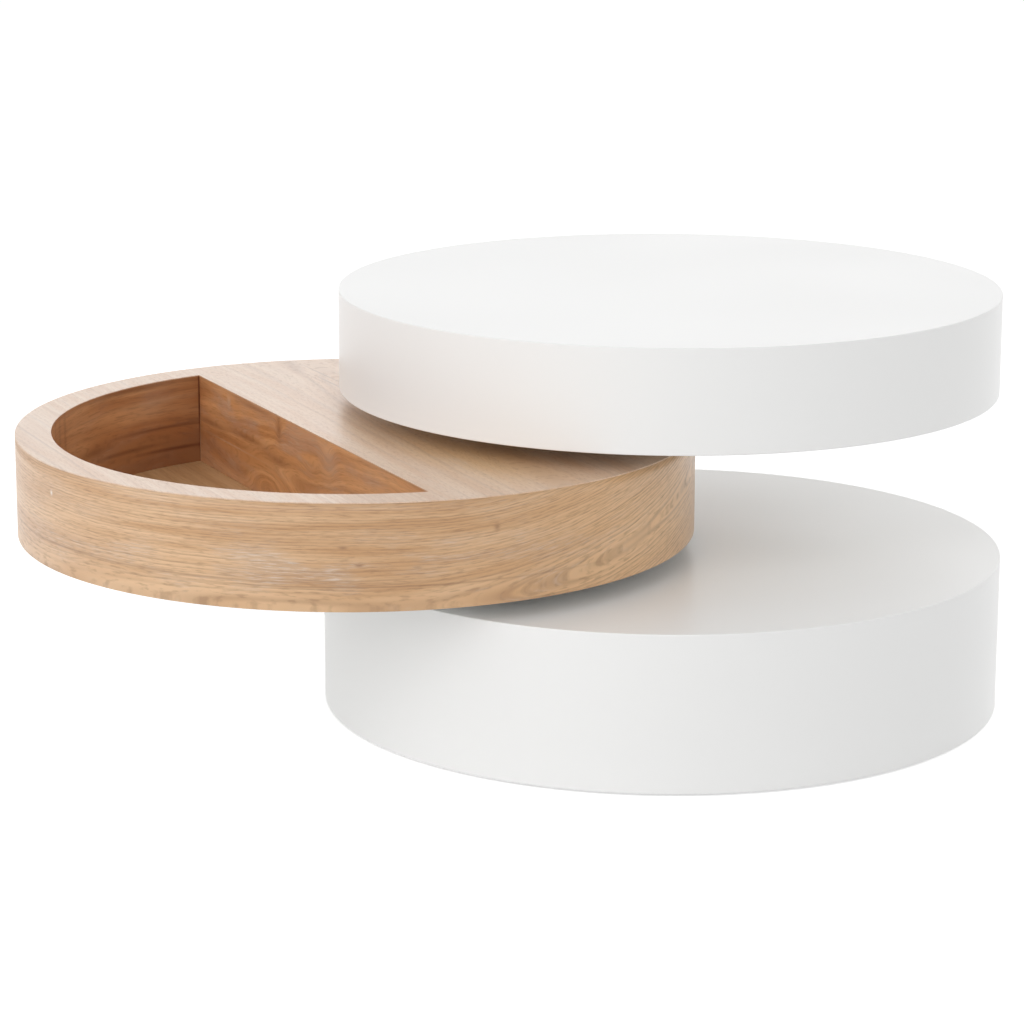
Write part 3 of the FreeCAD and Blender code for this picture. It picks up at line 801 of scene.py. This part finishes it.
floor_oak = oak_veneer(
    "oak_veneer_floor",
    ((tray_centre[0], tray_centre[1], 0.0), RECESS_HEADING, None, ("Y", "X")),
    {
        "seed": 5.7,
        "broad": (0.40, 0.09),
        "small": (0.10, 0.03),
        "bend": (0.02, 0.004),
        "climb": (-0.38, 0.38),
        "level": (0.0, 0.0),
        "depth": (0.09, 0.07),
        "spacing": 0.005,
        "sharp": 1.5,
        "soft": 0.3,
        "faint": 0.3,
        "pores": 0.018,
        "rarity": 1.0,
        "deepen": (-9.0, 9.0),
        "scatter": 0.3,
        "marks": [],
    },
    {
        "pale": "cfa97b",
        "deep": "bb9264",
        "honey_and_shade": "cda06c",
        "ring": "8b653f",
        "pore": "7e5f3e",
        "haze": "b7a28c",
        "lime": "ddd0bf",
    },
    {"line": 0.50, "pore": 0.15, "haze": 0.1, "lime": 0.3, "gloss": 0.40},
)
dress(floor_oak, "recess_floor_panel")

# ---------------------------------------------------------------------- tray drum: recess walls
# Inside the recess the veneer is a warmer, more figured leaf, stained a shade deeper.

wall_oak = oak_veneer(
    "oak_veneer_recess_wall",
    (
        (tray_centre[0], tray_centre[1], tray_low),
        RECESS_HEADING + math.pi / 2,
        RECESS_RADIUS,
        None,
    ),
    {
        "seed": 12.3,
        "broad": (0.35, 0.07),
        "small": (0.10, 0.03),
        "bend": (0.030, 0.006),
        "climb": (-0.50, 0.50),
        "level": (0.03, 0.03),
        "depth": (0.05, 0.03),
        "spacing": 0.0075,
        "sharp": 1.5,
        "soft": 0.4,
        "faint": 0.18,
        "pores": 0.018,
        "rarity": 1.8,
        "deepen": (-9.0, 9.0),
        "scatter": 0.6,
        "marks": [
            (-0.395, 0.057, 0.070, 0.0022, 0.004, "ring", 0.55),
            (-0.430, 0.030, 0.060, 0.0020, 0.003, "ring", 0.45),
            (-0.345, 0.038, 0.050, 0.0024, 0.004, "ring", 0.45),
            (-0.285, 0.050, 0.030, 0.0050, 0.006, "ring", 0.55),
            # painted shade: a broad dark stain darkens the foot of the recess wall towards its
            # corner
            (-0.430, 0.015, 0.160, 0.0350, 0.0, "ring", 0.52),
            (-0.470, 0.090, 0.060, 0.0600, 0.0, "ring", 0.30),
            (-0.350, 0.110, 0.080, 0.0040, 0.0, "ring", 0.60),
            (-0.388, 0.085, 0.030, 0.0140, 0.0, "lime", 0.16),
            # a dark glue line down the recess's inside corner, darkened further as painted shade
            (-0.4648, 0.085, 0.0011, 0.045, 0.0, "ring", 0.9),
            (-0.235, 0.085, 0.045, 0.040, 0.0, "honey_and_shade", 0.40),
            (-0.162, 0.095, 0.004, 0.030, 0.0, "ring", 0.30),
            (-0.186, 0.093, 0.004, 0.030, 0.0, "ring", 0.30),
            (-0.208, 0.088, 0.004, 0.026, 0.0, "ring", 0.40),
        ],
    },
    {
        "pale": "d6a06f",
        "deep": "b97f50",
        "honey_and_shade": "e0ae80",
        "ring": "6a3a1c",
        "pore": "643f26",
        "haze": "a98878",
        "lime": "cbb49c",
    },
    {"line": 0.75, "pore": 0.28, "haze": 0.40, "lime": 0.30, "gloss": 0.35},
)
dress(wall_oak, "tray_recess_wall")

divider_oak = oak_veneer(
    "oak_veneer_divider",
    ((tray_centre[0], tray_centre[1], tray_low), RECESS_HEADING, None, ("Y", "Z")),
    {
        "seed": 20.9,
        "broad": (0.30, 0.07),
        "small": (0.08, 0.03),
        "bend": (0.035, 0.008),
        "climb": (-0.33, 0.33),
        "level": (0.04, 0.04),
        "depth": (0.065, 0.02),
        "spacing": 0.0075,
        "sharp": 1.5,
        "soft": 0.4,
        "faint": 0.22,
        "pores": 0.018,
        "rarity": 1.4,
        "deepen": (-9.0, 9.0),
        "scatter": 0.8,
        "marks": [
            (-0.285, 0.063, 0.050, 0.0040, 0.004, "ring", 0.5),
            (-0.170, 0.068, 0.060, 0.0045, 0.004, "ring", 0.5),
            (-0.085, 0.060, 0.035, 0.0050, 0.004, "ring", 0.5),
            (-0.078, 0.098, 0.008, 0.0120, 0.012, "ring", 0.6),
            (-0.160, 0.108, 0.070, 0.0040, 0.0, "ring", 0.5),
            (-0.310, 0.102, 0.030, 0.0080, 0.0, "ring", 0.4),
            (-0.233, 0.099, 0.005, 0.0080, 0.004, "lime", 0.45),
            (-0.110, 0.024, 0.050, 0.0180, 0.024, "ring", 0.0),
            (0.065, 0.088, 0.020, 0.0200, 0.016, "lime", 0.22),
            (0.020, 0.070, 0.030, 0.0120, 0.012, "ring", 0.15),
            (0.000, 0.090, 0.150, 0.0300, 0.0, "chalk", 0.6),
            (-0.260, 0.085, 0.050, 0.0250, 0.0, "chalk", 0.8),
            # a dark glue line down the recess's inside corner, darkened further as painted shade
            (-0.3296, 0.085, 0.0011, 0.030, 0.0, "ring", 0.9),
            (-0.3290, 0.025, 0.0010, 0.024, 0.0, "lime", 0.4),
            (-0.230, 0.0500, 0.090, 0.0010, 0.0, "lime", 0.40),
            (-0.202, 0.0065, 0.004, 0.0016, 0.0, "lime", 0.8),
            (-0.215, 0.0040, 0.003, 0.0012, 0.0, "lime", 0.6),
            (0.200, 0.090, 0.100, 0.0600, 0.0, "honey_and_shade", 0.40),
        ],
    },
    {
        "pale": "e6ac76",
        "deep": "c98c57",
        "honey_and_shade": "f2c090",
        "ring": "744021",
        "pore": "6b4527",
        "haze": "b09082",
        "lime": "cdb59e",
    },
    {"line": 0.80, "pore": 0.22, "haze": 0.35, "lime": 0.35, "gloss": 0.35},
)
dress(divider_oak, "tray_divider")

# ---------------------------------------------------------------------- tabletop drum: shell
# Built and sprayed as the base is, without a hole, since the spindle ends inside it.

wall_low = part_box("top_side_wall")[0]
board_low, board_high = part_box("top_board")
top_centre, drum = box_circle("top_side_wall")
bottom, joint, top = wall_low.z, board_low.z, board_high.z
POLE = 0.02  # the radius of the flat disc that closes each end of the profile
RIM = 0.01  # from the edge to the first ring on the flat top
TOP_SIDE_RINGS = 10
TOP_RINGS = 12
side_levels = np.linspace(bottom + EASE + FLAT, top - EASE - FLAT, TOP_SIDE_RINGS)
profile = np.concatenate(
    [
        [[POLE, joint], [drum / 2, joint], [drum - HOOP, joint]],
        [[drum - HOOP, bottom], [drum - EASE - FLAT, bottom]],
        quarter(drum - EASE, bottom + EASE, EASE, -90),
        [[drum, level] for level in side_levels],
        quarter(drum - EASE, top - EASE, EASE, 0),
        [[drum - EASE - FLAT, top]],
        [[radius, top] for radius in np.linspace(drum - RIM, POLE, TOP_RINGS)],
    ]
)
points = circles(np.tile(top_centre, (len(profile), 1)), profile[:, 0], profile[:, 1])
faces = quads(len(profile), ROUND, False).tolist()
first = np.arange(ROUND)
faces.append(first[::-1].tolist())
faces.append(((len(profile) - 1) * ROUND + first).tolist())
tabletop_shell = surface("tabletop_shell", points, faces, lacquer)
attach(tabletop_shell, "tabletop")
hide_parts("top_side_wall", "top_board")

# ---------------------------------------------------------------------------- floor and light
# A plain white floor and five large soft lamps in a white room.

FLOOR_REACH = 40.0
FLOOR_LIFT = 0.57  # what the floor gives off, only to be seen, so that it shows white
ROOM_SEEN = 1.0
ROOM_LIGHT = 0.50
LAMP_AIM = Vector((0.0, 0.0, 0.25))
floor, tree, shader = new_finish("floor_plain", Roughness=0.9, IOR=1.3)
shader.inputs["Base Color"].default_value = srgb("f0f0f0")
shader.inputs["Specular IOR Level"].default_value = 0.0
rays = tree.nodes.new("ShaderNodeLightPath").outputs
seen = add(
    tree,
    "Math",
    {0: rays["Is Camera Ray"], 1: rays["Is Glossy Ray"]},
    operation="MAXIMUM",
)
seen = add(tree, "Math", {0: seen, 1: rays["Is Transmission Ray"]}, operation="MAXIMUM")
lift = add(tree, "Math", {0: seen, 1: FLOOR_LIFT}, operation="MULTIPLY")
shader.inputs["Emission Color"].default_value = (1.0, 1.0, 1.0, 1.0)
tree.links.new(lift, shader.inputs["Emission Strength"])
corners = np.array([[-1.0, -1.0, 0.0], [1.0, -1.0, 0.0], [1.0, 1.0, 0.0], [-1.0, 1.0, 0.0]])
ground = surface("floor", corners * FLOOR_REACH, [[0, 1, 2, 3]], floor)

room = bpy.data.worlds.new("room")
bpy.context.scene.world = room
room.use_nodes = True
tree = room.node_tree
rays = tree.nodes.new("ShaderNodeLightPath").outputs
seen = add(
    tree,
    "Math",
    {0: rays["Is Camera Ray"], 1: rays["Is Glossy Ray"]},
    operation="MAXIMUM",
)
seen = add(tree, "Math", {0: seen, 1: rays["Is Transmission Ray"]}, operation="MAXIMUM")
strength = add(tree, "MapRange", {"Value": seen, "To Min": ROOM_LIGHT, "To Max": ROOM_SEEN})
back = tree.nodes["Background"]
back.inputs["Color"].default_value = (1.0, 1.0, 1.0, 1.0)
tree.links.new(strength, back.inputs["Strength"])

for name, place, width, height, watts in (
    ("lamp_left", (-3.4, -0.3, 1.5), 3.4, 2.4, 11.0),
    ("lamp_corner", (-2.7, -2.2, 1.9), 4.6, 2.8, 39.0),
    ("lamp_front", (0.0, -3.3, 2.5), 5.0, 3.0, 37.0),
    ("lamp_right", (3.4, 0.6, 1.4), 3.0, 2.0, 15.0),
    ("lamp_back", (0.6, 3.8, 1.4), 5.0, 2.2, 19.0),
):
    lamp = bpy.data.objects.new(name, bpy.data.lights.new(name, "AREA"))
    lamp.data.shape = "RECTANGLE"
    lamp.data.size = width
    lamp.data.size_y = height
    lamp.data.energy = watts
    lamp.location = place
    aim = LAMP_AIM - Vector(place)
    lamp.rotation_euler = aim.to_track_quat("-Z", "Y").to_euler()
    bpy.context.scene.collection.objects.link(lamp)

bpy.context.scene.view_settings.view_transform = "Standard"
